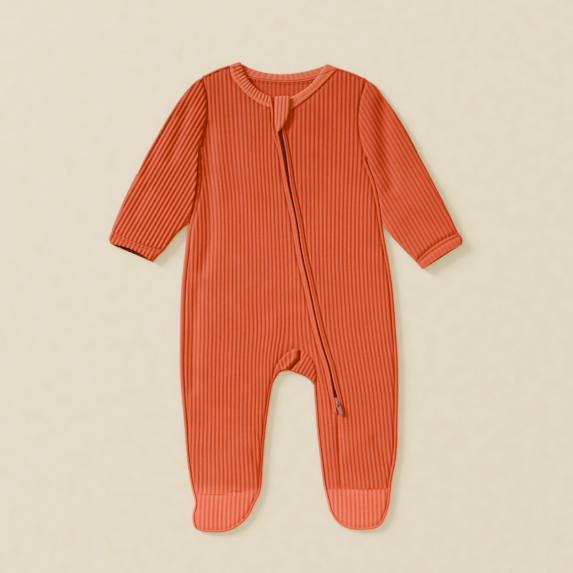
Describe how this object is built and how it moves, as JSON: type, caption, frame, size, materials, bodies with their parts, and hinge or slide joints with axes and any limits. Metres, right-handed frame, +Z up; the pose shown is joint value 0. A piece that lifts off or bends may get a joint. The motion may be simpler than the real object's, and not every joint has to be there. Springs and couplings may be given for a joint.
{
  "type": "footed baby sleepsuit",
  "caption": "Long-sleeved ribbed cotton baby sleepsuit with closed feet, a diagonal zip and a ribbed neckband, laid flat on its back with the arms out.",
  "frame": {"origin": "middle of the bounding box on the surface that the garment lies on", "axes": "+X to the wearer's left, which is the viewer's right, +Y towards the neck, +Z up out of the front"},
  "size_m": [0.4236, 0.564, 0.0098],
  "materials": {
    "rib_cloth": "matt cotton rib knit, coral red",
    "rib_trim": "matt cotton rib knit trim, coral red",
    "zip_tape": "woven zip tape with a fine coil, dark red",
    "zip_plastic": "lacquered slider and pull tab, dusty pink red"
  },
  "bodies": {
    "garment": {"back": "rib_cloth", "front_right": "rib_cloth", "front_left": "rib_cloth", "gusset": "rib_cloth", "sleeve_right": "rib_cloth", "sleeve_left": "rib_cloth", "cuff_right": "rib_trim", "cuff_left": "rib_trim", "mitten_right": "rib_cloth", "mitten_left": "rib_cloth", "neckband": "rib_trim", "zip": "zip_tape", "zip_cover": "rib_trim", "zip_slider": "zip_plastic", "foot_right": "rib_cloth", "foot_left": "rib_cloth", "sole_right": "rib_cloth", "sole_left": "rib_cloth"},
    "pull": {"zip_pull": "zip_plastic"}
  },
  "joints": [
    {"name": "zip_pull", "type": "hinge", "parent": "garment", "child": "pull", "pos_m": [0.062, -0.127, 0.00795], "axis": [-0.9397, -0.342, 0], "range_deg": [0, 175]}
  ]
}
